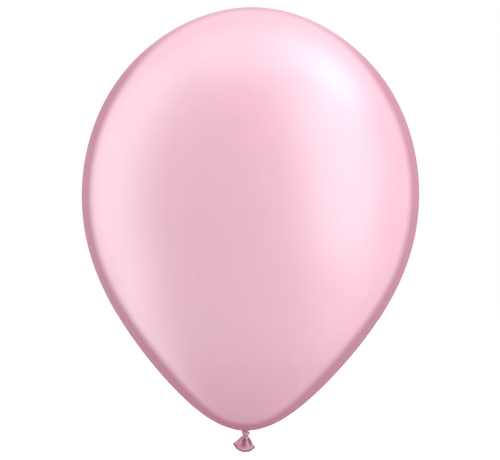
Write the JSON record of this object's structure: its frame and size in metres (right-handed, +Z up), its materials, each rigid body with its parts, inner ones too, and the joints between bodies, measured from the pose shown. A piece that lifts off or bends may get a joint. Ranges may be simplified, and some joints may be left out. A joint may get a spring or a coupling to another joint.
{
  "type": "latex balloon",
  "caption": "Round-bodied latex balloon, blown and tied, with a knotted neck, a flared tail and a rolled lip.",
  "frame": {"origin": "on the balloon's axis in the gathered neck between the envelope and the knot, where a ribbon or clip grips it", "axes": "+Z up through the crown, -Y the front, the flattened mouth of the tail spreads along X"},
  "size_m": [0.2798, 0.2798, 0.37],
  "materials": {
    "stretched_film": "pearl pink latex blown thin, satin gloss",
    "gathered_film": "the same pearl latex where it is gathered and thicker, deeper pink, satin",
    "unstretched_film": "the same latex rolled up and unstretched, deep pink, satin"
  },
  "bodies": {
    "envelope": {"envelope": "stretched_film"},
    "stem": {"stem": "gathered_film"},
    "knot": {"knot": "gathered_film"},
    "throat": {"throat": "gathered_film"},
    "tail": {"tail_skirt": "gathered_film", "rolled_lip": "unstretched_film"}
  },
  "joints": [
    {"name": "knot_tilt_side", "type": "hinge", "parent": "envelope", "child": "stem", "pos_m": [0, 0, 0], "axis": [0, 1, 0], "range_deg": [-12, 12], "stiffness_Nm_per_rad": 0.001},
    {"name": "knot_tilt_front", "type": "hinge", "parent": "stem", "child": "knot", "pos_m": [0, 0, 0], "axis": [1, 0, 0], "range_deg": [-12, 12], "stiffness_Nm_per_rad": 0.001},
    {"name": "tail_bend_side", "type": "hinge", "parent": "knot", "child": "throat", "pos_m": [0, 0, -0.0051], "axis": [0, 1, 0], "range_deg": [-28, 28], "stiffness_Nm_per_rad": 0.0005},
    {"name": "tail_bend_front", "type": "hinge", "parent": "throat", "child": "tail", "pos_m": [0, 0, -0.0051], "axis": [0.9816, 0, -0.1908], "range_deg": [-30, 30], "stiffness_Nm_per_rad": 0.0005}
  ]
}
